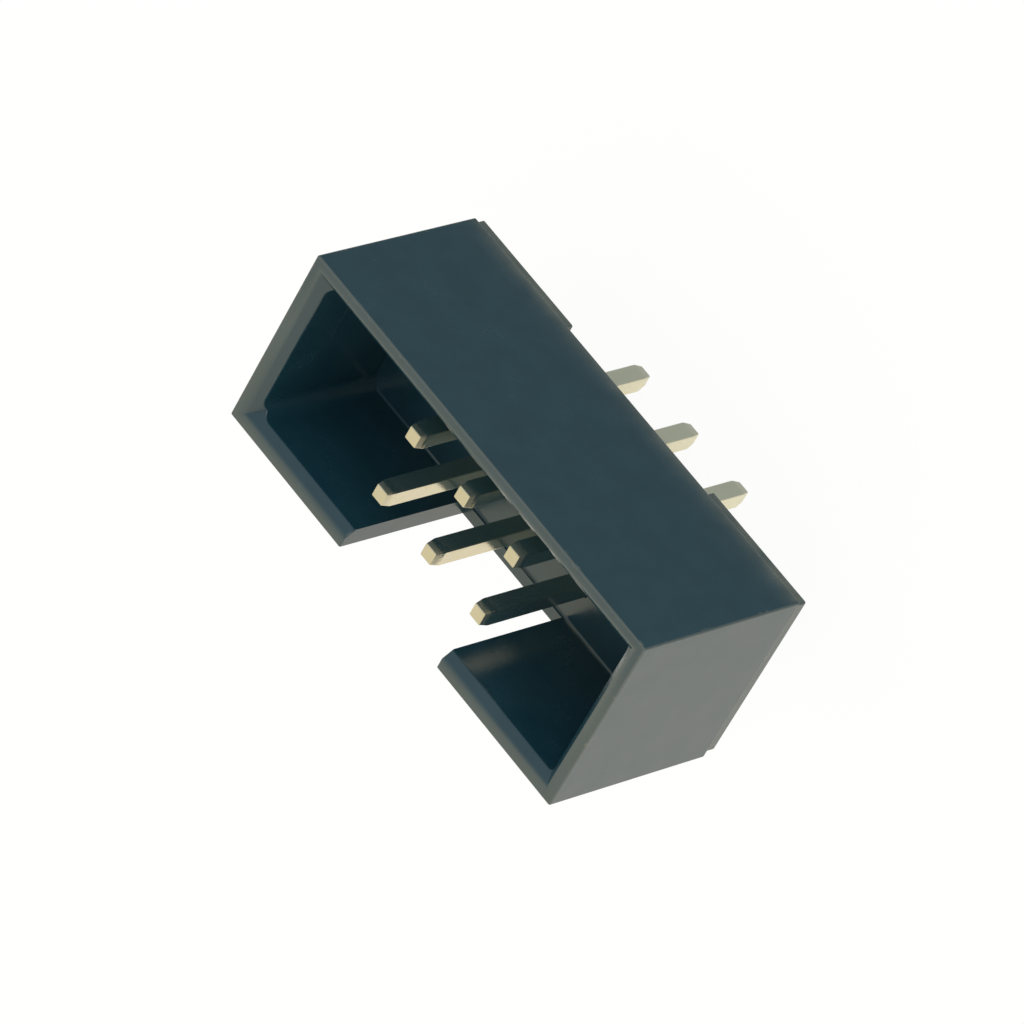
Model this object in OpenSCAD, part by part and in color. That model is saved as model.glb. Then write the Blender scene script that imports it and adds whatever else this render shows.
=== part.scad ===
// Two-row shrouded pin header with straight tails, for a keyed ribbon-cable plug.
// z = 0 is the board's face, the mouth opens along +Z and the key slot is in the -Y wall.

/* [Contacts] */
// Contacts in each of the two rows
contacts_per_row = 3; // [2:1:20]
// Distance from one contact to the next along a row
contact_pitch = 2; // [1.6:0.05:2.54]
// Distance between the two rows
row_pitch = 2; // [1.6:0.05:2.6]
// Side of the square contact wire
wire_w = 0.49; // [0.42:0.01:0.64]
// Length of wire that stands up from the cavity floor
mating_l = 3.6; // [2.5:0.05:4]
// Length of wire that reaches below the board's face
tail_l = 2.66; // [1.5:0.02:4]
// Side of the flat left on the mating tip
mating_flat = 0.39; // [0.2:0.01:0.4]
// Length of the swaged taper behind the mating tip
mating_taper = 0.28; // [0.1:0.02:0.6]
// Side of the flat left on the tail's end
tail_flat = 0.36; // [0.2:0.02:0.4]
// Length of the swaged taper behind the tail's end
tail_taper = 0.25; // [0.1:0.01:0.6]
// How far a coined barb stands out of the wire
barb_out = 0.06; // [0.02:0.01:0.1]
// Length of a coined barb along the wire
barb_l = 0.6; // [0.3:0.05:0.8]
// Clearance on each side of a wire in its hole, 0 for a line-to-line press fit
hole_gap = 0; // [0:0.005:0.03]

/* [Housing] */
// Distance from the last contact's axis to the end face
end_reach = 4.575; // [3.5:0.025:6]
// Width across the two rows
housing_w = 5.48; // [5:0.02:7]
// Height from the board's face to the mouth
housing_h = 5.6; // [5.2:0.1:9]
// Thickness of the shroud's walls
wall_t = 0.55; // [0.4:0.05:0.8]
// Depth of the cavity from the mouth to its floor
cavity_depth = 4; // [3.6:0.1:4.4]
// Width and depth of the lead-in chamfer inside the mouth
lead_in = 0.25; // [0.05:0.05:0.35]
// Radius of the upright outer edges
corner_r = 0.06; // [0.02:0.01:0.3]

/* [Key slot] */
// Width of the slot through the -Y wall
key_w = 4; // [2:0.05:6]
// How far the slot's sill lies below the cavity floor
sill_drop = 0.16; // [0.02:0.02:0.4]
// Radius where the slot's sides turn into the rim
key_r = 0.06; // [0.02:0.01:0.3]

/* [Stand-offs] */
// Height of the end pads that sit on the board
pad_h = 0.32; // [0.1:0.02:0.6]
// Length of a pad along the housing
pad_l = 3.7; // [1:0.05:3.9]
// Setback of a pad from the end face
pad_end_inset = 0.05; // [0.02:0.01:0.5]
// Setback of a pad from the long faces
pad_side_inset = 0.12; // [0.02:0.01:0.5]

/* [Hidden] */
$fn = 48;
// Overshoot that takes a cut clear of the face it opens, and a pad into the base it grows from
over = 0.2;

housing_l = (contacts_per_row - 1) * contact_pitch + 2 * end_reach;
cavity_l = housing_l - 2 * wall_t;
cavity_w = housing_w - 2 * wall_t;
floor_z = housing_h - cavity_depth;
sill_z = floor_z - sill_drop;
tip_z = floor_z + mating_l;
barb_z = (pad_h + floor_z) / 2;
contact_count = 2 * contacts_per_row;

function contact_name(n) = str("contact_pin_", n);

// Contacts are numbered in pairs along +X, the odd ones in the row beside the key slot.
function contact_at(n) = [
    (floor((n - 1) / 2) - (contacts_per_row - 1) / 2) * contact_pitch,
    (n % 2 == 1 ? -1 : 1) * row_pitch / 2
];

// One side of a barb, on a wire or in a hole of the given half width.
function barb_side(half_w) = [
    [half_w, barb_z - barb_l / 2],
    [half_w + barb_out, barb_z],
    [half_w, barb_z + barb_l / 2]
];

// One side of the wire from its tail's end up to its mating tip.
function wire_side(barbed) = concat(
    [[tail_flat / 2, -tail_l], [wire_w / 2, tail_taper - tail_l]],
    barbed ? barb_side(wire_w / 2) : [],
    [[wire_w / 2, tip_z - mating_taper], [mating_flat / 2, tip_z]]
);

// One side of the barbed hole that holds a wire.
function hole_side(half_w) = concat([[half_w, -over]], barb_side(half_w), [[half_w, floor_z + over]]);

// A closed outline from its right-hand side, which is mirrored to the left.
module both_sides(side) {
    polygon(concat(side, [for (i = [len(side) - 1 : -1 : 0]) [-side[i].x, side[i].y]]));
}

// Sweeps an outline drawn in X and Z along Y, to both sides of the XZ plane.
module sweep_y(width) {
    rotate([90, 0, 0])
        linear_extrude(width, center = true)
            children();
}

// Sweeps an outline drawn in Y and Z along X, to both sides of the YZ plane.
module sweep_x(length) {
    rotate([90, 0, 90])
        linear_extrude(length, center = true)
            children();
}

// A plate outline with round corners.
module round_plate(l, w, r) {
    square([l - 2 * r, w], center = true);
    square([l, w - 2 * r], center = true);
    for (x = [-1, 1], y = [-1, 1])
        translate([x * (l / 2 - r), y * (w / 2 - r)])
            circle(r);
}

// Square wire with both ends swaged to a blunt point, and a coined barb on two sides where the base grips it.
module contact_pin(n) {
    color("#d9c98f")
        translate(contact_at(n))
            intersection() {
                sweep_y(wire_w) both_sides(wire_side(true));
                sweep_x(wire_w + 2 * barb_out) both_sides(wire_side(false));
            }
}

// Barbed square hole through the base, from below the pads to above the floor.
module contact_hole(n) {
    translate(contact_at(n))
        sweep_y(wire_w + 2 * hole_gap)
            both_sides(hole_side(wire_w / 2 + hole_gap));
}

// The moulding before its cuts: an upright block on a pad at each end.
module blank() {
    translate([0, 0, pad_h])
        linear_extrude(housing_h - pad_h)
            round_plate(housing_l, housing_w, corner_r);
    for (end = [-1, 1])
        translate([end * (housing_l / 2 - pad_end_inset - pad_l / 2), 0, 0])
            linear_extrude(pad_h + over)
                round_plate(pad_l, housing_w - 2 * pad_side_inset, corner_r);
}

// The space that the cable's plug fills.
module cavity() {
    translate([0, 0, floor_z])
        linear_extrude(cavity_depth + over)
            square([cavity_l, cavity_w], center = true);
}

// Section of the lead-in, which widens a span by its own rise on each side.
module flare(span) {
    rise = lead_in + over;
    both_sides([[span / 2, 0], [span / 2 + rise, rise]]);
}

// Lead-in chamfer round the mouth, mitred at its four corners.
module mouth_lead_in() {
    translate([0, 0, housing_h - lead_in])
        intersection() {
            sweep_y(housing_w + 2 * over) flare(cavity_l);
            sweep_x(housing_l + 2 * over) flare(cavity_w);
        }
}

// Outline of the key slot, with its sides rounded over into the rim.
module key_outline() {
    translate([-key_w / 2, sill_z])
        square([key_w, housing_h + over - sill_z]);
    for (side = [0, 1])
        mirror([side, 0])
            translate([key_w / 2, housing_h - key_r])
                difference() {
                    square([key_r, key_r + over]);
                    translate([key_r, 0]) circle(key_r);
                }
}

// Slot that takes the plug's polarising rib, cut through the -Y wall alone.
module key_slot() {
    translate([0, -(housing_w + over - wall_t) / 2, 0])
        sweep_y(wall_t + over)
            key_outline();
}

// Moulded shroud: base, four walls, lead-in, key slot, stand-off pads and pressed contact holes.
module housing() {
    color("#20292d")
        difference() {
            blank();
            cavity();
            mouth_lead_in();
            key_slot();
            for (n = [1 : contact_count]) contact_hole(n);
        }
}

housing();
for (n = [1 : contact_count])
    contact_pin(n);
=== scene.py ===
# %% [markdown]
# # A straight shrouded pin header
#
# This is the board half of a small ribbon-cable connector: a dark moulded box, open at the top, with six
# gilt square wires pressed through its base. The cable's plug slides into the box from above, and a rib on
# the plug runs down the slot in one long wall, so it goes in one way round only.
#
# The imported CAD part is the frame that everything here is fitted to. Its edges are sharp, as CAD edges are,
# so each piece is modelled again at the same size with the small radii that a mould and a die leave.

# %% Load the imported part
import math

import bmesh
import bpy
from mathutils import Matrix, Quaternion, Vector


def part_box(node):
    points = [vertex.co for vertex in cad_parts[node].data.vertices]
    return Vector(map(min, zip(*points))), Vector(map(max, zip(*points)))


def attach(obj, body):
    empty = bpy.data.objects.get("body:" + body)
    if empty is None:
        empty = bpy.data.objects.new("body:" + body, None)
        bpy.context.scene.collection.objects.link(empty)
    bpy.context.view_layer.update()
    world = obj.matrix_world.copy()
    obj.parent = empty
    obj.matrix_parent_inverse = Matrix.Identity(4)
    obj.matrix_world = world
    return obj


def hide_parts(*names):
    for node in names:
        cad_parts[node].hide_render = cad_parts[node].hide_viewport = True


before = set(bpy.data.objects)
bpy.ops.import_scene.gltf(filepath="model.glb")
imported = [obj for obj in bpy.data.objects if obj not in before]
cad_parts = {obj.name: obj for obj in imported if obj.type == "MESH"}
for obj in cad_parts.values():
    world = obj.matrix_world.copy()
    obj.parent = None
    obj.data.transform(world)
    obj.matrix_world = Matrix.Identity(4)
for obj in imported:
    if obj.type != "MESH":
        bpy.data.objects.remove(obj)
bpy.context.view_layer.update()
print("CAD nodes:", ", ".join(sorted(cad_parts)))

# %% [markdown]
# ## Sizes
#
# The part is only 13 mm long, so it is modelled with one Blender unit to the millimetre and shrunk to metres
# at the end. Tools such as bevel and bisect have small fixed tolerances, and they behave better that way.
# The outside sizes are read from the frame, so the pieces follow it if the part is packed again. The sizes
# that several steps share stand here, and the others stand beside the step that needs them.

# %% Sizes that the frame gives
MM = 0.001


def box_mm(node):
    """Lowest and highest corner of a CAD node, in millimetres."""
    low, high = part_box(node)
    return low / MM, high / MM


contact_nodes = sorted(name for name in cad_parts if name.startswith("contact_pin_"))
housing_low, housing_high = box_mm("housing")
wire_low, wire_high = box_mm(contact_nodes[0])
half_length = housing_high.x
half_width = housing_high.y
mouth_z = housing_high.z
tip_z = wire_high.z
tail_z = wire_low.z
print(f"housing {2 * half_length:.2f} x {2 * half_width:.2f} mm, wires from {tail_z:.2f} to {tip_z:.2f} mm")

# %% Sizes that several steps share
WALL = 0.55
LEAD_IN = 0.25
CAVITY_DEPTH = 4.0
SILL_DROP = 0.16
PAD_HEIGHT = 0.32
WIRE = 0.49

base_z = housing_low.z + PAD_HEIGHT
floor_z = mouth_z - CAVITY_DEPTH
sill_z = floor_z - SILL_DROP
print(f"base {base_z:.2f}, sill {sill_z:.2f}, cavity floor {floor_z:.2f}, mouth {mouth_z:.2f} mm")

# %% [markdown]
# ## Ways of working
#
# Every piece starts as a cube primitive of the right size in the right place. Operators act on whatever is
# selected, so each step first lets go of everything and then picks faces or edges by where they are and
# which way they face, as a hand would with the mouse. Where a hollow has a shape of its own, that shape is
# modelled as a second block, which then trims the first with a Boolean.

# %% Start a block
def block(name, low, high):
    """Adds a cube that fills the box between two corners, with its size and place in its mesh."""
    bpy.ops.object.select_all(action="DESELECT")
    bpy.ops.mesh.primitive_cube_add(size=1, location=(Vector(low) + Vector(high)) / 2)
    piece = bpy.context.object
    piece.name = name
    piece.scale = Vector(high) - Vector(low)
    bpy.ops.object.transform_apply(location=True, rotation=False, scale=True)
    return piece


def work_on(piece):
    """Makes a piece the only one selected."""
    bpy.ops.object.select_all(action="DESELECT")
    piece.select_set(True)
    bpy.context.view_layer.objects.active = piece


print("a block is measured in units of", MM, "m")

# %% Pick faces and edges
# a normal or a direction with more than this share along an axis counts as along it
ALONG = 0.9
# two lengths that are this close are the same, but for rounding
SAME = 0.002
# bisect takes a point that is this close to its plane as on it
ON_PLANE = 1e-5


def near(a, b):
    """True for two lengths that are the same, but for rounding."""
    return abs(a - b) < SAME


def pick_faces(test):
    """In edit mode, selects just the faces whose centre and normal pass a test."""
    bpy.ops.mesh.select_mode(type="FACE")
    bpy.ops.mesh.select_all(action="DESELECT")
    mesh = bmesh.from_edit_mesh(bpy.context.edit_object.data)
    for face in mesh.faces:
        face.select_set(bool(test(face.calc_center_median(), face.normal)))
    bmesh.update_edit_mesh(bpy.context.edit_object.data)


def pick_edges(test):
    """In edit mode, selects just the edges whose middle and direction pass a test, and says how many."""
    bpy.ops.mesh.select_mode(type="EDGE")
    bpy.ops.mesh.select_all(action="DESELECT")
    mesh = bmesh.from_edit_mesh(bpy.context.edit_object.data)
    count = 0
    for edge in mesh.edges:
        a, b = (vertex.co for vertex in edge.verts)
        way = Vector(map(abs, (b - a).normalized()))
        if test((a + b) / 2, way):
            edge.select_set(True)
            count += 1
    bmesh.update_edit_mesh(bpy.context.edit_object.data)
    return count


print("places are told apart to", SAME, "mm")

# %% Trim one block with another
# how far a cutting tool reaches past the face that it opens
PAST = 0.4


def trim(piece, tool, operation="DIFFERENCE"):
    """Takes a tool's shape out of a piece, or with INTERSECT all but that shape, and puts the tool away."""
    boolean = piece.modifiers.new("trim", "BOOLEAN")
    boolean.operation = operation
    boolean.solver = "EXACT"
    boolean.object = tool
    work_on(piece)
    bpy.ops.object.modifier_apply(modifier=boolean.name)
    bpy.data.objects.remove(tool)


print("cutting tools reach", PAST, "mm past a face")

# %% [markdown]
# ## The shroud's block, rim and lead-in
#
# The real shroud is one shot of plastic. Inside its mouth a lead-in slopes down from the rim and guides the
# plug. By hand it comes from one block: inset the top face to leave the rim, then inset it again while
# sinking it, which slopes the lead-in and mitres its corners. The slope runs a little past the wall's line,
# so that it still meets the wall where the cavity's own corners are round.

# %% Block, rim and lead-in
LEAD_PAST = 0.15

shroud = block("moulded_shroud", (-half_length, -half_width, base_z), (half_length, half_width, mouth_z))
bpy.ops.object.mode_set(mode="EDIT")
pick_faces(lambda at, normal: normal.z > ALONG)
bpy.ops.mesh.inset(thickness=WALL - LEAD_IN, depth=0)
bpy.ops.mesh.inset(thickness=LEAD_IN + LEAD_PAST, depth=-LEAD_IN - LEAD_PAST)
bpy.ops.object.mode_set(mode="OBJECT")
print(f"rim {WALL - LEAD_IN:.2f} mm wide, lead-in {LEAD_IN:.2f} mm wide and deep")

# %% [markdown]
# ## The cavity
#
# In the mould a steel core leaves the cavity. Its upright edges are round, more so at the far end, and its
# long lower edges leave a fillet at the foot of the two long walls. So the core is modelled as a tool: a
# block with rounded corners, trimmed by a longer bar with a rounded foot. Two rounds of different size meet
# cleanly that way, where bevelling one after the other leaves open edges. The fillet is there before the
# slot is cut, so a low ridge of it stays standing along the slot's foot, as it does on the real part.

# %% Cut the cavity with a core
FAR_CORNER = 0.4
NEAR_CORNER = 0.12
CORNER_SEGMENTS = 8
FILLET = 0.1
FILLET_SEGMENTS = 6

cavity_x = half_length - WALL
cavity_y = half_width - WALL
core = block("core_tool", (-cavity_x, -cavity_y, floor_z), (cavity_x, cavity_y, mouth_z + PAST))
bpy.ops.object.mode_set(mode="EDIT")
for end, radius in ((-1, FAR_CORNER), (1, NEAR_CORNER)):
    corners = pick_edges(lambda at, way: way.z > ALONG and near(at.x * end, cavity_x))
    bpy.ops.mesh.bevel(offset=radius, segments=CORNER_SEGMENTS, affect="EDGES")
    print("rounded", corners, "upright edges of the core at", radius, "mm")
bpy.ops.object.mode_set(mode="OBJECT")
bar = block("bar_tool", (-half_length, -cavity_y, floor_z), (half_length, cavity_y, mouth_z + 2 * PAST))
bpy.ops.object.mode_set(mode="EDIT")
feet = pick_edges(lambda at, way: way.x > ALONG and near(at.z, floor_z))
bpy.ops.mesh.bevel(offset=FILLET, segments=FILLET_SEGMENTS, affect="EDGES")
bpy.ops.object.mode_set(mode="OBJECT")
trim(core, bar, "INTERSECT")
trim(shroud, core)
print("rounded", feet, "long edges of its foot at", FILLET, "mm")

# %% [markdown]
# ## The stand-off pads
#
# Two low pads under the ends hold the base clear of the board, so that flux can be washed out from under it.
# Bisect draws their outlines on the underside, and the two fields inside them are pulled down.

# %% Pads under the two ends
PAD_LENGTH = 3.7
PAD_END_INSET = 0.05
PAD_SIDE_INSET = 0.12

pad_outer_x = half_length - PAD_END_INSET
pad_inner_x = pad_outer_x - PAD_LENGTH
pad_y = half_width - PAD_SIDE_INSET


def under_base(at, normal):
    """True for the faces of the base's underside."""
    return normal.z < -ALONG and near(at.z, base_z)


def inside_pad(at, normal):
    """True for the two fields of the underside that the pads' outlines enclose."""
    return under_base(at, normal) and pad_inner_x < abs(at.x) < pad_outer_x and abs(at.y) < pad_y


outlines = [((x, 0, 0), (1, 0, 0)) for x in (-pad_outer_x, -pad_inner_x, pad_inner_x, pad_outer_x)]
outlines += [((0, y, 0), (0, 1, 0)) for y in (-pad_y, pad_y)]
work_on(shroud)
bpy.ops.object.mode_set(mode="EDIT")
for place, across in outlines:
    pick_faces(under_base)
    bpy.ops.mesh.bisect(plane_co=place, plane_no=across, threshold=ON_PLANE)
pick_faces(inside_pad)
bpy.ops.mesh.extrude_region_move(TRANSFORM_OT_translate={"value": (0, 0, -PAD_HEIGHT)})
bpy.ops.object.mode_set(mode="OBJECT")
print("shroud reaches down to", round(min(v.co.z for v in shroud.data.vertices), 3), "mm")

# %% [markdown]
# ## The barbed bar
#
# A contact is held in the base by a barb: a press squeezes the drawn square wire so that it bulges on two
# sides, and the bulge bites into the plastic as the wire is driven in. The same bar, a hair thicker, cuts the
# hole, so the hole has the barb's print in it. Three cuts are drawn round a block, and the middle one is
# widened.

# %% A square bar with a barb
BARB_OUT = 0.06
BARB_LENGTH = 0.6

barb_z = (base_z + floor_z) / 2


def barbed_bar(name, side, low_z, high_z):
    """A square bar along Z on the part's axis, with a barb on two sides in the middle of the base."""
    bar = block(name, (-side / 2, -side / 2, low_z), (side / 2, side / 2, high_z))
    bpy.ops.object.mode_set(mode="EDIT")
    for z in (barb_z - BARB_LENGTH / 2, barb_z, barb_z + BARB_LENGTH / 2):
        bpy.ops.mesh.select_all(action="SELECT")
        bpy.ops.mesh.bisect(plane_co=(0, 0, z), plane_no=(0, 0, 1), threshold=ON_PLANE)
    pick_edges(lambda at, way: near(at.z, barb_z) and way.z < ALONG)
    bpy.ops.transform.resize(value=(1 + 2 * BARB_OUT / side, 1, 1))
    bpy.ops.object.mode_set(mode="OBJECT")
    return bar


print(f"barb at {barb_z:.2f} mm, {WIRE + 2 * BARB_OUT:.2f} mm across")

# %% [markdown]
# ## The key slot and the contact holes
#
# The slot goes through one long wall and a little below the cavity's floor. A block pushed through the wall
# and taken away with a Boolean cuts it cleanly. The six holes for the wires are cut the same way, with a
# hair of play so that a fine dark line shows round each wire where it comes out of the plastic.

# %% Cut the slot
KEY_WIDTH = 4.0
# the share of the fillet's height that stays standing across the slot
RIDGE_SHARE = 0.7

slot_x = KEY_WIDTH / 2
ridge_z = floor_z + RIDGE_SHARE * FILLET
slot_low = (-slot_x, -half_width - PAST, sill_z)
slot_high = (slot_x, -half_width + WALL, mouth_z + PAST)
slot_tool = block("slot_tool", slot_low, slot_high)
bpy.ops.object.mode_set(mode="EDIT")
pick_faces(lambda at, normal: normal.y > ALONG)
bpy.ops.mesh.bisect(plane_co=(0, 0, ridge_z), plane_no=(0, 0, 1), threshold=ON_PLANE)
# above the ridge the tool is pulled on into the cavity, so that it takes the whole lead-in with it
pick_faces(lambda at, normal: normal.y > ALONG and at.z > ridge_z)
bpy.ops.mesh.extrude_region_move(TRANSFORM_OT_translate={"value": (0, PAST, 0)})
bpy.ops.object.mode_set(mode="OBJECT")
trim(shroud, slot_tool)
print(f"slot {KEY_WIDTH:.1f} mm wide, from the mouth down to {sill_z:.2f} mm")

# %% Cut the holes
HOLE_PLAY = 0.015
# points that are this close become one, and so do faces that turn by less than this
MERGE_GAP = 0.001
FLAT_ANGLE = math.radians(1)

wire_axes = []
for node in contact_nodes:
    low, high = box_mm(node)
    wire_axes.append(((low.x + high.x) / 2, (low.y + high.y) / 2))
for x, y in wire_axes:
    hole_tool = barbed_bar("hole_tool", WIRE + 2 * HOLE_PLAY, -PAST, floor_z + PAST)
    hole_tool.location = (x, y, 0)
    bpy.context.view_layer.update()
    trim(shroud, hole_tool)
# the cuts leave a few points twice and split some flat faces, which would spoil the rounding
bpy.ops.object.mode_set(mode="EDIT")
bpy.ops.mesh.select_all(action="SELECT")
bpy.ops.mesh.remove_doubles(threshold=MERGE_GAP)
bpy.ops.mesh.dissolve_limited(angle_limit=FLAT_ANGLE)
bpy.ops.object.mode_set(mode="OBJECT")
print("faces with the slot and", len(wire_axes), "holes in:", len(shroud.data.polygons))

# %% [markdown]
# ## Rounded edges
#
# No moulded edge is sharp, and the thin light caught by its radius is what makes plastic look solid. The
# radii differ: the rim's inner edge is the softest, the slot's top is rounded for the plug's rib, and the
# outer edges are crisp. Each group of edges gets a bevel weight, and one Bevel modifier then rounds them all
# and blends the corners where they meet. Weighted normals keep the flat faces looking flat.

# %% Round the edges of a piece by groups
SMOOTH_ANGLE = math.radians(35)


def round_edges(piece, groups, segments):
    """Rounds groups of edges, each given as a radius and a test of an edge's middle and direction."""
    widest = max(radius for radius, test in groups)
    work_on(piece)
    bpy.ops.object.mode_set(mode="EDIT")
    for radius, test in groups:
        count = pick_edges(test)
        bpy.ops.transform.edge_bevelweight(value=radius / widest)
        print(f"  {count} edges at {radius} mm")
    bpy.ops.object.mode_set(mode="OBJECT")
    bevel = piece.modifiers.new("round", "BEVEL")
    bevel.limit_method = "WEIGHT"
    bevel.width = widest
    bevel.segments = segments
    # the shortest edges would otherwise hold every radius back
    bevel.use_clamp_overlap = False
    bpy.ops.object.modifier_apply(modifier=bevel.name)
    bpy.ops.object.shade_smooth_by_angle(angle=SMOOTH_ANGLE)
    flats = piece.modifiers.new("flats", "WEIGHTED_NORMAL")
    flats.keep_sharp = True
    bpy.ops.object.modifier_apply(modifier=flats.name)
    print(f"{piece.name}: {len(piece.data.polygons)} faces")


print("edges stay sharp where faces turn by more than", round(math.degrees(SMOOTH_ANGLE)), "degrees")

# %% Tell the shroud's edges apart
def on_either(at, x, y):
    """True on one of the four upright planes at a distance x or y from the middle."""
    return near(abs(at.x), x) or near(abs(at.y), y)


def on_both(at, x, y):
    """True on one of the four upright lines where those planes cross."""
    return near(abs(at.x), x) and near(abs(at.y), y)


def on_slot_side(at):
    """True on the two planes of the slot's sides."""
    return at.y < 0 and near(abs(at.x), slot_x)


def on_rim(at, way):
    """True for the rim's inner edge, up to the slot."""
    return near(at.z, mouth_z) and not on_either(at, half_length, half_width) and not on_slot_side(at)


def on_lead_foot(at, way):
    """True for the lead-in's lower edge, which dips at the core's round corners."""
    low = mouth_z - LEAD_IN
    return low - LEAD_PAST < at.z < low + SAME and not on_slot_side(at)


print(f"lead-in's lower edge at {mouth_z - LEAD_IN:.2f} mm")

# %% Round the shroud
UPRIGHT_RADIUS = 0.06
RIM_OUTER_RADIUS = 0.05
RIM_INNER_RADIUS = 0.14
LEAD_FOOT_RADIUS = 0.04
SLOT_TOP_RADIUS = 0.06
SLOT_SIDE_RADIUS = 0.03
SILL_RADIUS = 0.03
BASE_RADIUS = 0.05
PAD_CORNER_RADIUS = 0.06
PAD_FOOT_RADIUS = 0.04
SHROUD_SEGMENTS = 4

shroud_groups = [
    (UPRIGHT_RADIUS, lambda at, way: way.z > ALONG and on_both(at, half_length, half_width)),
    (RIM_OUTER_RADIUS, lambda at, way: near(at.z, mouth_z) and on_either(at, half_length, half_width)),
    (RIM_INNER_RADIUS, on_rim),
    (LEAD_FOOT_RADIUS, on_lead_foot),
    (SLOT_TOP_RADIUS, lambda at, way: on_slot_side(at) and way.z < ALONG and at.z > mouth_z - LEAD_IN),
    (SLOT_SIDE_RADIUS, lambda at, way: on_slot_side(at) and way.z > ALONG and near(at.y, -half_width)),
    (SILL_RADIUS, lambda at, way: near(at.z, sill_z) and near(at.y, -half_width)),
    (BASE_RADIUS, lambda at, way: near(at.z, base_z) and on_either(at, half_length, half_width)),
    (PAD_CORNER_RADIUS, lambda at, way: way.z > ALONG and at.z < base_z),
    (PAD_FOOT_RADIUS, lambda at, way: near(at.z, housing_low.z)),
]
round_edges(shroud, shroud_groups, SHROUD_SEGMENTS)

# %% [markdown]
# ## One contact
#
# Each contact is cut from drawn square wire, and a press swages both of its ends to a blunt point, so that it
# finds its way into the plug and into the board's hole. The wire starts as the barbed bar, and its two end
# faces are pulled out and shrunk for the points.

# %% Model the wire once
MATING_FLAT = 0.39
MATING_TAPER = 0.28
TAIL_FLAT = 0.36
TAIL_TAPER = 0.25
WIRE_EDGE_RADIUS = 0.035
WIRE_END_RADIUS = 0.025
WIRE_SEGMENTS = 3

mating_z = tip_z - MATING_TAPER
soldered_z = tail_z + TAIL_TAPER
wire = barbed_bar("gilt_contact", WIRE, soldered_z, mating_z)
bpy.ops.object.mode_set(mode="EDIT")
for up, taper, flat in ((1, MATING_TAPER, MATING_FLAT), (-1, TAIL_TAPER, TAIL_FLAT)):
    pick_faces(lambda at, normal: normal.z * up > ALONG)
    bpy.ops.mesh.extrude_region_move(TRANSFORM_OT_translate={"value": (0, 0, up * taper)})
    bpy.ops.transform.resize(value=(flat / WIRE, flat / WIRE, 1))
bpy.ops.object.mode_set(mode="OBJECT")
wire_groups = [
    (WIRE_EDGE_RADIUS, lambda at, way: way.z > ALONG),
    (WIRE_END_RADIUS, lambda at, way: any(near(at.z, z) for z in (tip_z, mating_z, soldered_z, tail_z))),
]
round_edges(wire, wire_groups, WIRE_SEGMENTS)

# %% [markdown]
# ## Six contacts, and everything to metres
#
# The wire is copied to each place that the frame gives, each copy with a mesh of its own. A finished piece
# is shrunk to metres and its change of size goes into the mesh, so its object sits at the origin, unturned
# and unscaled, and a pattern in its material keeps to the piece.

# %% Copy the wire and shrink the pieces
def settle(piece):
    """Puts a piece's place and size into its mesh."""
    work_on(piece)
    bpy.ops.object.transform_apply(location=True, rotation=True, scale=True)


contacts = []
for node, (x, y) in zip(contact_nodes, wire_axes):
    work_on(wire)
    bpy.ops.object.duplicate(linked=False)
    contact = bpy.context.object
    contact.name = node.replace("contact_pin", "gilt_contact")
    contact.location = (x * MM, y * MM, 0)
    contact.scale = (MM, MM, MM)
    settle(contact)
    contacts.append(contact)
bpy.data.objects.remove(wire)
shroud.scale = (MM, MM, MM)
settle(shroud)
print("contacts:", ", ".join(piece.name for piece in contacts))

# %% [markdown]
# ## Colours and nodes
#
# Colours are written as the sRGB hex values that a colour picker shows, and Blender's sockets take linear
# light, so one function turns the one into the other. A second one adds a node to a material, sets what it
# is told and links what it is given, so that a recipe reads from top to bottom.

# %% Turn colours to linear, add nodes and size patterns
# nearly all values of a noise pattern lie between these two
NOISE_LOW = 0.3
NOISE_HIGH = 0.7


def linear(hex_colour):
    """An sRGB hex colour as linear red, green, blue and alpha."""
    shares = [int(hex_colour[i:i + 2], 16) / 255 for i in (1, 3, 5)]
    return [s / 12.92 if s <= 0.04045 else ((s + 0.055) / 1.055) ** 2.4 for s in shares] + [1.0]


def add_node(tree, kind, inputs, **settings):
    """Adds a node with its settings. Each input is given a value, or linked where it is given a socket."""
    node = tree.nodes.new(kind)
    for name, value in settings.items():
        setattr(node, name, value)
    for name, value in inputs.items():
        if isinstance(value, bpy.types.NodeSocket):
            tree.links.new(value, node.inputs[name])
        else:
            node.inputs[name].default_value = value
    return node


def per_metre(size_mm):
    """How many cells of a pattern lie in a metre, when one cell is this many millimetres wide."""
    return 1 / (size_mm * MM)


def new_material(name):
    """An empty material and the tree that its nodes go into."""
    material = bpy.data.materials.new(name)
    material.use_nodes = True
    material.node_tree.nodes.clear()
    return material, material.node_tree


print("mid grey in linear light:", round(linear("#808080")[0], 3))

# %% [markdown]
# ## Marks on the plastic
#
# Handling leaves dark plastic paler in places: small nicks along the outer edges. A thin pale line on the
# outer edges is partly wear and partly a painted highlight, the light that their radius catches. A pale band
# above the base is partly scuffs and partly painted light, the glow that the base's edge catches from below.
# The rim is paler on the slot's side: partly a rub from the plug, and partly a painted reflection of the
# bright sheet close in front of the slot. On the cavity's end walls a faint witness line shows where two
# blocks of the mould's core met. All of this could be drawn in a texture, but the part's own sizes place it
# better: a point's distances to the end faces, to the long faces and to the rim or base are compared, and the
# middle one of the three is its distance to the nearest outer edge.

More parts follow.
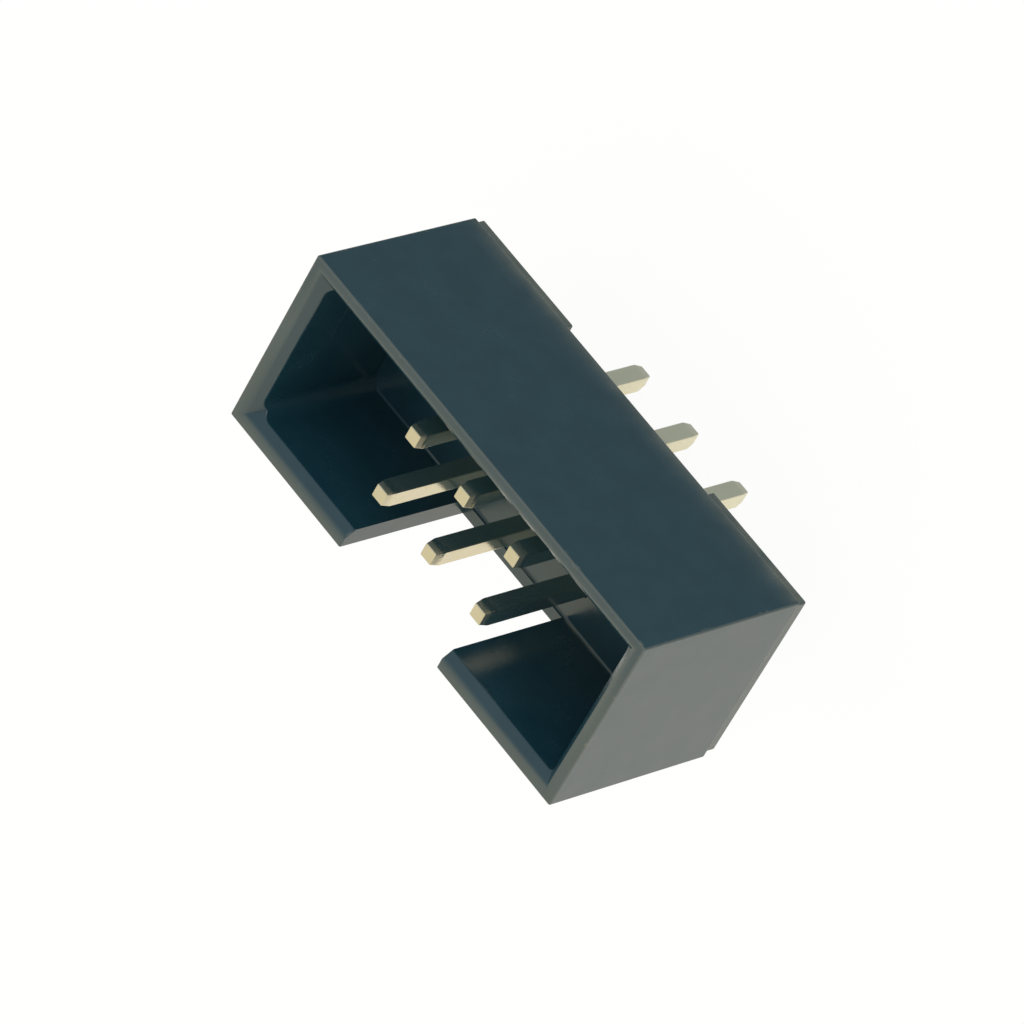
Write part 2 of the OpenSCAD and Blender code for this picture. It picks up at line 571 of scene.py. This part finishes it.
# %% Distances to the outer faces and edges
def face_distances(tree, place):
    """Adds a point's distances to the nearest end face, the nearest long face, the rim and the base."""
    mirrored = add_node(tree, "ShaderNodeVectorMath", {0: place}, operation="ABSOLUTE").outputs[0]
    mirrored = add_node(tree, "ShaderNodeSeparateXYZ", {"Vector": mirrored}).outputs
    height = add_node(tree, "ShaderNodeSeparateXYZ", {"Vector": place}).outputs["Z"]
    spans = (
        {0: half_length * MM, 1: mirrored["X"]},
        {0: half_width * MM, 1: mirrored["Y"]},
        {0: mouth_z * MM, 1: height},
        {0: height, 1: base_z * MM},
    )
    return [add_node(tree, "ShaderNodeMath", span, operation="SUBTRACT").outputs[0] for span in spans]


def edge_distance(tree, to_end, to_side, to_rim, to_base):
    """Adds a point's distance to the nearest outer edge."""
    to_top = add_node(tree, "ShaderNodeMath", {0: to_rim, 1: to_base}, operation="MINIMUM").outputs[0]
    least = add_node(tree, "ShaderNodeMath", {0: to_end, 1: to_side}, operation="MINIMUM").outputs[0]
    most = add_node(tree, "ShaderNodeMath", {0: to_end, 1: to_side}, operation="MAXIMUM").outputs[0]
    inner = add_node(tree, "ShaderNodeMath", {0: most, 1: to_top}, operation="MINIMUM").outputs[0]
    return add_node(tree, "ShaderNodeMath", {0: least, 1: inner}, operation="MAXIMUM").outputs[0]


print(f"outer faces at {half_length:.3f}, {half_width:.2f}, {mouth_z:.2f} and {base_z:.2f} mm")

# %% Nicks along the edges, and a thin line of wear and painted highlight on them
NICK = 0.3
# the noise makes a nick from the first value on, and a full one from the second
NICK_START = 0.56
NICK_FULL = 0.68
NICK_SHARE = 0.5
RUB_WIDTH = 0.12
# the pale line on the outer edges is partly wear and partly a painted highlight
EDGE_LINE_WIDTH = 0.06
EDGE_LINE_SHARE = 0.5


def edge_nicks(tree, place, to_edge):
    """Adds small nicks that lie close to the outer edges."""
    close = {"Value": to_edge, "From Max": RUB_WIDTH * MM, "To Min": 1.0, "To Max": 0.0}
    close = add_node(tree, "ShaderNodeMapRange", close, interpolation_type="SMOOTHSTEP").outputs["Result"]
    noise = {"Vector": place, "Scale": per_metre(NICK), "Detail": 2}
    noise = add_node(tree, "ShaderNodeTexNoise", noise).outputs["Fac"]
    spots = {"Value": noise, "From Min": NICK_START, "From Max": NICK_FULL, "To Max": NICK_SHARE}
    spots = add_node(tree, "ShaderNodeMapRange", spots).outputs["Result"]
    return add_node(tree, "ShaderNodeMath", {0: close, 1: spots}, operation="MULTIPLY").outputs[0]


def edge_wear_and_painted_highlight(tree, to_edge):
    """Adds a thin pale line on the outer edges themselves, partly wear and partly a painted highlight."""
    pale_edge = {"Value": to_edge, "From Max": EDGE_LINE_WIDTH * MM, "To Min": EDGE_LINE_SHARE, "To Max": 0.0}
    return add_node(tree, "ShaderNodeMapRange", pale_edge).outputs["Result"]


print("nicks within", RUB_WIDTH, "mm of an edge, and a worn line", EDGE_LINE_WIDTH, "mm wide")

# %% A pale band above the base, of scuffs and painted light
PALE_BAND_WIDTH = 0.22
PALE_BAND_LEAST = 0.25
PALE_BAND_MOST = 0.6


def base_scuffs_and_painted_glow(tree, to_base, to_end, cloud):
    """Adds an uneven band that fades upwards from the base and keeps clear of the end faces."""
    # the band is partly scuffs and partly a painted glow that the base's edge catches from below
    fall = {0: to_base, 1: -per_metre(PALE_BAND_WIDTH)}
    fall = add_node(tree, "ShaderNodeMath", fall, operation="MULTIPLY").outputs[0]
    fall = add_node(tree, "ShaderNodeMath", {0: fall}, operation="EXPONENT", use_clamp=True).outputs[0]
    uneven = {"Value": cloud, "From Min": NOISE_LOW, "From Max": NOISE_HIGH}
    uneven |= {"To Min": PALE_BAND_LEAST, "To Max": PALE_BAND_MOST}
    uneven = add_node(tree, "ShaderNodeMapRange", uneven).outputs["Result"]
    pale_band = add_node(tree, "ShaderNodeMath", {0: fall, 1: uneven}, operation="MULTIPLY").outputs[0]
    away = {"Value": to_end, "From Max": RUB_WIDTH * MM}
    away = add_node(tree, "ShaderNodeMapRange", away).outputs["Result"]
    return add_node(tree, "ShaderNodeMath", {0: pale_band, 1: away}, operation="MULTIPLY").outputs[0]


print("scuffs fade to about a third in", PALE_BAND_WIDTH, "mm")

# %% A rim paler on the slot's side, partly rubbed and partly a painted reflection
RIM_PALE_SHARE = 0.15
# the paleness is full down to the first depth below the rim, and gone at the second
RIM_PALE_DEPTH = 0.02
RIM_PALE_FADE = 0.08
# across the part it is full up to the first place, and gone at the second
RIM_PALE_FULL_Y = 0.6
RIM_PALE_GONE_Y = 2.2


def rim_rub_and_painted_reflection(tree, place, to_rim):
    """Adds a rim paler on the slot's side, fading toward the plain wall: partly a rub, partly a painted
    reflection.
    """
    on_top = {"Value": to_rim, "From Min": RIM_PALE_DEPTH * MM, "From Max": RIM_PALE_FADE * MM}
    on_top |= {"To Min": 1.0, "To Max": 0.0}
    on_top = add_node(tree, "ShaderNodeMapRange", on_top).outputs["Result"]
    across = add_node(tree, "ShaderNodeSeparateXYZ", {"Vector": place}).outputs["Y"]
    share = {"Value": across, "From Min": RIM_PALE_FULL_Y * MM, "From Max": RIM_PALE_GONE_Y * MM}
    share |= {"To Min": RIM_PALE_SHARE, "To Max": 0.0}
    share = add_node(tree, "ShaderNodeMapRange", share).outputs["Result"]
    return add_node(tree, "ShaderNodeMath", {0: on_top, 1: share}, operation="MULTIPLY").outputs[0]


print("rim rubbed to", RIM_PALE_DEPTH, "mm deep")

# %% A witness line in the cavity
WITNESS_DEPTH = 1.44
WITNESS_WIDTH = 0.03
WITNESS_SHARE = 0.3
# across the part the line is gone up to the first place, and full at the second
WITNESS_GONE_Y = -0.3
WITNESS_FULL_Y = 2.2
# a point that is this close to the end wall's plane is on it
ON_WALL = 0.01


def witness_line(tree, place, to_end, to_rim):
    """Adds a faint line across the cavity's end walls, which fades out toward the slot's side."""
    off_line = {0: to_rim, 1: WITNESS_DEPTH * MM}
    off_line = add_node(tree, "ShaderNodeMath", off_line, operation="SUBTRACT").outputs[0]
    off_line = add_node(tree, "ShaderNodeMath", {0: off_line}, operation="ABSOLUTE").outputs[0]
    line = {"Value": off_line, "From Max": WITNESS_WIDTH * MM, "To Min": 1.0, "To Max": 0.0}
    line = add_node(tree, "ShaderNodeMapRange", line).outputs["Result"]
    across = add_node(tree, "ShaderNodeSeparateXYZ", {"Vector": place}).outputs["Y"]
    fading = {"Value": across, "From Min": WITNESS_GONE_Y * MM, "From Max": WITNESS_FULL_Y * MM}
    fading |= {"To Max": WITNESS_SHARE}
    fading = add_node(tree, "ShaderNodeMapRange", fading).outputs["Result"]
    line = add_node(tree, "ShaderNodeMath", {0: line, 1: fading}, operation="MULTIPLY").outputs[0]
    on_end = {0: to_end, 1: WALL * MM, 2: ON_WALL * MM}
    on_end = add_node(tree, "ShaderNodeMath", on_end, operation="COMPARE").outputs[0]
    return add_node(tree, "ShaderNodeMath", {0: line, 1: on_end}, operation="MULTIPLY").outputs[0]


print("witness line", WITNESS_DEPTH, "mm below the rim")

# %% [markdown]
# ## The shroud's plastic
#
# The shroud is glass-filled polyester, moulded in a spark-eroded tool. That gives the eye a dark slate body
# with a soft satin sheen, faint cloudy flow marks about a millimetre across, and a fine grain. The marks of
# the cells above lie over one another, and at each point the palest of them shows.

# %% Glass-filled polyester, moulded
GRAIN = 0.07
CLOUD = 0.9
GRAIN_HEIGHT = 0.002
# the flow marks stand this many times as high as the grain
CLOUD_LIFT = 5.0
POLYESTER_ROUGH_LEAST = 0.2
POLYESTER_ROUGH_MOST = 0.28


def moulded_polyester():
    """Dark satin plastic with flow marks and a fine grain, paler where it is worn and where highlights and
    reflections are painted on.
    """
    material, tree = new_material("glass_filled_polyester_moulded")
    place = add_node(tree, "ShaderNodeTexCoord", {}).outputs["Object"]
    # the real grain is about 0.02 mm and would not show, so it is drawn three times as coarse
    grain = {"Vector": place, "Scale": per_metre(GRAIN), "Detail": 3}
    grain = add_node(tree, "ShaderNodeTexNoise", grain).outputs["Fac"]
    cloud = {"Vector": place, "Scale": per_metre(CLOUD), "Detail": 4}
    cloud = add_node(tree, "ShaderNodeTexNoise", cloud).outputs["Fac"]
    to_end, to_side, to_rim, to_base = face_distances(tree, place)
    to_edge = edge_distance(tree, to_end, to_side, to_rim, to_base)
    marks = (
        base_scuffs_and_painted_glow(tree, to_base, to_end, cloud),
        rim_rub_and_painted_reflection(tree, place, to_rim),
        edge_wear_and_painted_highlight(tree, to_edge),
        witness_line(tree, place, to_end, to_rim),
    )
    # real nicks and the witness line, with the edge line, the band above the base and the pale rim partly
    # painted highlight and reflection
    wear_and_painted_light = edge_nicks(tree, place, to_edge)
    for mark in marks:
        wear_and_painted_light = add_node(tree, "ShaderNodeMath", {0: wear_and_painted_light, 1: mark}, operation="MAXIMUM").outputs[0]
    body = {"Factor": cloud, "A": linear("#173845"), "B": linear("#1f4455")}
    body = add_node(tree, "ShaderNodeMix", body, data_type="RGBA").outputs["Result"]
    # the pale colour goes where there is wear and where light is painted on
    colour = {"Factor": wear_and_painted_light, "A": body, "B": linear("#84857c")}
    colour = add_node(tree, "ShaderNodeMix", colour, data_type="RGBA").outputs["Result"]
    rough = {"Value": cloud, "From Min": NOISE_LOW, "From Max": NOISE_HIGH}
    rough |= {"To Min": POLYESTER_ROUGH_LEAST, "To Max": POLYESTER_ROUGH_MOST}
    rough = add_node(tree, "ShaderNodeMapRange", rough).outputs["Result"]
    height = {0: cloud, 1: CLOUD_LIFT, 2: grain}
    height = add_node(tree, "ShaderNodeMath", height, operation="MULTIPLY_ADD").outputs[0]
    bump = {"Height": height, "Distance": GRAIN_HEIGHT * MM, "Strength": 1.0}
    bump = add_node(tree, "ShaderNodeBump", bump).outputs["Normal"]
    plastic = {"Base Color": colour, "Roughness": rough, "Normal": bump}
    gloss = {"IOR": 1.57, "Specular IOR Level": 0.65}
    shader = add_node(tree, "ShaderNodeBsdfPrincipled", plastic | gloss)
    add_node(tree, "ShaderNodeOutputMaterial", {"Surface": shader.outputs["BSDF"]})
    return material


polyester = moulded_polyester()
print("made", polyester.name)

# %% [markdown]
# ## The contacts' metal
#
# The contacts are drawn brass wire with a flash of gold over nickel. The gold is so thin that it looks pale,
# more cream than yellow. On the mating end it is bright enough to mirror the slot's edge, and it turns dull
# over the last tenths of a millimetre, toward the cut tip. The solder tail is paler and matt, as tinned wire
# is. Fine lines run along the wire from the drawing die, and a thin cool haze from handling lies over it,
# which is the shader's sheen.

# %% Brass wire with a gold flash
DRAW_LINE = 0.05
# along the wire the lines are drawn out: their scale there is only this share
DRAWN_OUT = 0.03
LINE_HEIGHT = 0.002
FLASH_PATCH = 0.45
SATIN_LEAST = 0.09
SATIN_MOST = 0.15
# roughness that the matt tail has over the satin, and the share of it that the cut end has
MATT = 0.48
CUT_SHARE = 0.6
# below the tip the cut end is dull down to the first depth, and bright again at the second
DULL_END = 0.12
DULL_FADE = 0.24


def gold_flashed_wire():
    """Pale gold with fine lines along the wire, paler and matt on the tail, and dull at the cut end."""
    material, tree = new_material("brass_wire_gold_flash")
    place = add_node(tree, "ShaderNodeTexCoord", {}).outputs["Object"]
    height = add_node(tree, "ShaderNodeSeparateXYZ", {"Vector": place}).outputs["Z"]
    drawn = {"Vector": place, "Scale": (1, 1, DRAWN_OUT)}
    drawn = add_node(tree, "ShaderNodeMapping", drawn).outputs["Vector"]
    # the die's lines are a few microns wide and would not show, so they are drawn 0.05 mm wide
    lines = {"Vector": drawn, "Scale": per_metre(DRAW_LINE), "Detail": 2}
    lines = add_node(tree, "ShaderNodeTexNoise", lines).outputs["Fac"]
    patch = {"Vector": place, "Scale": per_metre(FLASH_PATCH), "Detail": 3}
    patch = add_node(tree, "ShaderNodeTexNoise", patch).outputs["Fac"]
    plated = {"Value": height, "From Min": base_z * MM, "From Max": floor_z * MM}
    plated = add_node(tree, "ShaderNodeMapRange", plated).outputs["Result"]
    cut = {"Value": height, "From Min": (tip_z - DULL_FADE) * MM, "From Max": (tip_z - DULL_END) * MM}
    cut |= {"To Max": CUT_SHARE}
    cut = add_node(tree, "ShaderNodeMapRange", cut).outputs["Result"]
    flash = {"Factor": patch, "A": linear("#d8d2bd"), "B": linear("#cfc5a6")}
    flash = add_node(tree, "ShaderNodeMix", flash, data_type="RGBA").outputs["Result"]
    colour = {"Factor": plated, "A": linear("#f6f2dd"), "B": flash}
    colour = add_node(tree, "ShaderNodeMix", colour, data_type="RGBA").outputs["Result"]
    satin = {"Value": lines, "From Min": NOISE_LOW, "From Max": NOISE_HIGH}
    satin |= {"To Min": SATIN_LEAST, "To Max": SATIN_MOST}
    satin = add_node(tree, "ShaderNodeMapRange", satin).outputs["Result"]
    dull = add_node(tree, "ShaderNodeMath", {0: 1.0, 1: plated}, operation="SUBTRACT").outputs[0]
    dull = add_node(tree, "ShaderNodeMath", {0: dull, 1: cut}, operation="MAXIMUM").outputs[0]
    rough = {0: dull, 1: MATT, 2: satin}
    rough = add_node(tree, "ShaderNodeMath", rough, operation="MULTIPLY_ADD").outputs[0]
    bump = {"Height": lines, "Distance": LINE_HEIGHT * MM}
    bump = add_node(tree, "ShaderNodeBump", bump).outputs["Normal"]
    metal = {"Base Color": colour, "Metallic": 0.98, "Roughness": rough, "Normal": bump}
    haze = {"Sheen Weight": 0.13, "Sheen Roughness": 0.9, "Sheen Tint": linear("#94dcff")}
    shader = add_node(tree, "ShaderNodeBsdfPrincipled", metal | haze)
    add_node(tree, "ShaderNodeOutputMaterial", {"Surface": shader.outputs["BSDF"]})
    return material


gilt = gold_flashed_wire()
print("made", gilt.name)

# %% [markdown]
# ## Dressing the frame
#
# Each piece takes its finish, hides the CAD solid it stands for, and rides on the part's one body.

# %% Give the pieces their finish and their place in the frame
def dress(piece, material, node):
    """Finishes a piece and lets it stand for a CAD node."""
    piece.data.materials.clear()
    piece.data.materials.append(material)
    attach(piece, "root")
    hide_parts(node)


dress(shroud, polyester, "housing")
for contact, node in zip(contacts, contact_nodes):
    dress(contact, gilt, node)
print("dressed", 1 + len(contacts), "pieces")

# %% [markdown]
# ## The camera
#
# A long lens stands well back, above the corner between the plain long wall and one end, and it is turned on
# its side, so that the mouth opens to the left of the picture and the tails point to the right.

# %% Camera
AZIMUTH = 146.67
ELEVATION = 42.92
ROLL = -105.46
LENS = 271.0
SENSOR = 36.0
AIM = Vector((-0.320, -0.696, 2.285))
DISTANCE = 184.62
CLIP_START = 10.0

azimuth = math.radians(AZIMUTH)
elevation = math.radians(ELEVATION)
back = Vector((
    math.sin(azimuth) * math.cos(elevation),
    -math.cos(azimuth) * math.cos(elevation),
    math.sin(elevation),
))
camera_data = bpy.data.cameras.new("camera")
camera_data.sensor_width = SENSOR
camera_data.lens = LENS
camera_data.clip_start = CLIP_START * MM
camera = bpy.data.objects.new("camera", camera_data)
bpy.context.scene.collection.objects.link(camera)
camera.location = (AIM + back * DISTANCE) * MM
camera.rotation_mode = "QUATERNION"
camera.rotation_quaternion = (-back).to_track_quat("-Z", "Y") @ Quaternion((0, 0, 1), math.radians(ROLL))
bpy.context.scene.camera = camera
print("camera at", [round(v / MM, 1) for v in camera.location], "mm")

# %% [markdown]
# ## Light from a tent
#
# Small parts are photographed in a tent of white cloth. Here the cloth is brighter and warm on the side of
# the key slot, and dim and cool on the side of the plain wall. That is why the end of the part shines grey,
# because it mirrors the bright side, while the plain wall keeps its own dark slate. The tent's lower half
# stands for the sheet on the table as a reflection sees it: bright on the slot's side, and shaded on the
# other. One function gives both halves their colour, from the Y part of a direction. Where the camera itself
# looks past the part, the tent is plain white.

# %% The tent
TENT_BRIGHT = 1.02
TENT_DIM = 0.62
TENT_TURN = 0.5
SHEET_BRIGHT = 1.1
SHEET_SHADED = 0.27


def tent_colour(tree, toward_y, bright, dim):
    """Adds a colour that turns from bright to dim, told by how far a direction points to +Y."""
    dimness = {"Value": toward_y, "From Min": -TENT_TURN, "From Max": TENT_TURN}
    dimness = add_node(tree, "ShaderNodeMapRange", dimness, interpolation_type="SMOOTHSTEP")
    dimness = dimness.outputs["Result"]
    sides = {"Factor": dimness, "A": bright, "B": dim}
    return add_node(tree, "ShaderNodeMix", sides, data_type="RGBA").outputs["Result"]


def lit(hex_colour, level):
    """A colour at a level of brightness, where 1 is white paper in full light."""
    return [level * share for share in linear(hex_colour)]


scene = bpy.context.scene
scene.world = bpy.data.worlds.new("tent")
scene.world.use_nodes = True
tree = scene.world.node_tree
tree.nodes.clear()
toward = add_node(tree, "ShaderNodeTexCoord", {}).outputs["Generated"]
toward = add_node(tree, "ShaderNodeSeparateXYZ", {"Vector": toward}).outputs
cloth = tent_colour(tree, toward["Y"], lit("#fff6da", TENT_BRIGHT), lit("#e9f4f3", TENT_DIM))
sheet = tent_colour(tree, toward["Y"], lit("#fff8ea", SHEET_BRIGHT), lit("#e9f4f3", SHEET_SHADED))
below = add_node(tree, "ShaderNodeMath", {0: toward["Z"], 1: 0.0}, operation="LESS_THAN").outputs[0]
around = add_node(tree, "ShaderNodeMix", {"Factor": below, "A": cloth, "B": sheet}, data_type="RGBA")
tent = add_node(tree, "ShaderNodeBackground", {"Color": around.outputs["Result"]})
white = add_node(tree, "ShaderNodeBackground", {"Color": linear("#ffffff")})
light_path = add_node(tree, "ShaderNodeLightPath", {}).outputs
shaders = {"Fac": light_path["Is Camera Ray"], 1: tent.outputs["Background"], 2: white.outputs["Background"]}
mixed = add_node(tree, "ShaderNodeMixShader", shaders)
add_node(tree, "ShaderNodeOutputWorld", {"Surface": mixed.outputs["Shader"]})
print("tent from", TENT_DIM, "to", TENT_BRIGHT)

# %% [markdown]
# ## Floor
#
# A plain white sheet lies under the tails' tips. Seen straight it is lifted close to pure white, and the rest
# of its brightness is its own, so the part keeps a faint shadow on it. It is hidden from reflections, which
# look through it to the tent's lower half.

# %% Floor
# the sheet's side is in metres
FLOOR_SIDE = 3.0
GLOW = 1.04
GLOW_SHARE = 0.9

bpy.ops.object.select_all(action="DESELECT")
bpy.ops.mesh.primitive_plane_add(size=FLOOR_SIDE, location=(0, 0, tail_z * MM))
floor = bpy.context.object
floor.name = "floor"
settle(floor)
paper_sheet, tree = new_material("white_paper_sheet")
light_path = add_node(tree, "ShaderNodeLightPath", {}).outputs
paper = add_node(tree, "ShaderNodeBsdfDiffuse", {"Color": linear("#f0f0ee")}).outputs["BSDF"]
glow = {"Color": linear("#ffffff"), "Strength": GLOW}
glow = add_node(tree, "ShaderNodeEmission", glow).outputs["Emission"]
seen = {0: light_path["Is Camera Ray"], 1: GLOW_SHARE}
seen = add_node(tree, "ShaderNodeMath", seen, operation="MULTIPLY").outputs[0]
lifted = add_node(tree, "ShaderNodeMixShader", {"Fac": seen, 1: paper, 2: glow}).outputs["Shader"]
add_node(tree, "ShaderNodeOutputMaterial", {"Surface": lifted})
floor.data.materials.append(paper_sheet)
floor.visible_glossy = False
floor.visible_transmission = False
print("floor at", round(tail_z, 2), "mm")

# %% [markdown]
# ## One lamp
#
# A large soft lamp stands on the side of the plain wall, a little above the part. It lifts that dim side and
# gives the part its faint shadow.

# %% Lamp
LAMP_TOWARD = Vector((0.3, 0.8, 0.5)).normalized()
# the lamp's distance and side are in metres
LAMP_DISTANCE = 0.35
LAMP_SIDE = 0.3
LAMP_WATTS = 0.32

lamp_data = bpy.data.lights.new("soft_lamp", "AREA")
lamp_data.size = LAMP_SIDE
lamp_data.energy = LAMP_WATTS
lamp_data.color = linear("#fff6ea")[:3]
lamp = bpy.data.objects.new("soft_lamp", lamp_data)
scene.collection.objects.link(lamp)
lamp.location = LAMP_TOWARD * LAMP_DISTANCE
lamp.rotation_mode = "QUATERNION"
lamp.rotation_quaternion = (-LAMP_TOWARD).to_track_quat("-Z", "Y")
scene.view_settings.view_transform = "Standard"
print("one lamp of", LAMP_WATTS, "W")
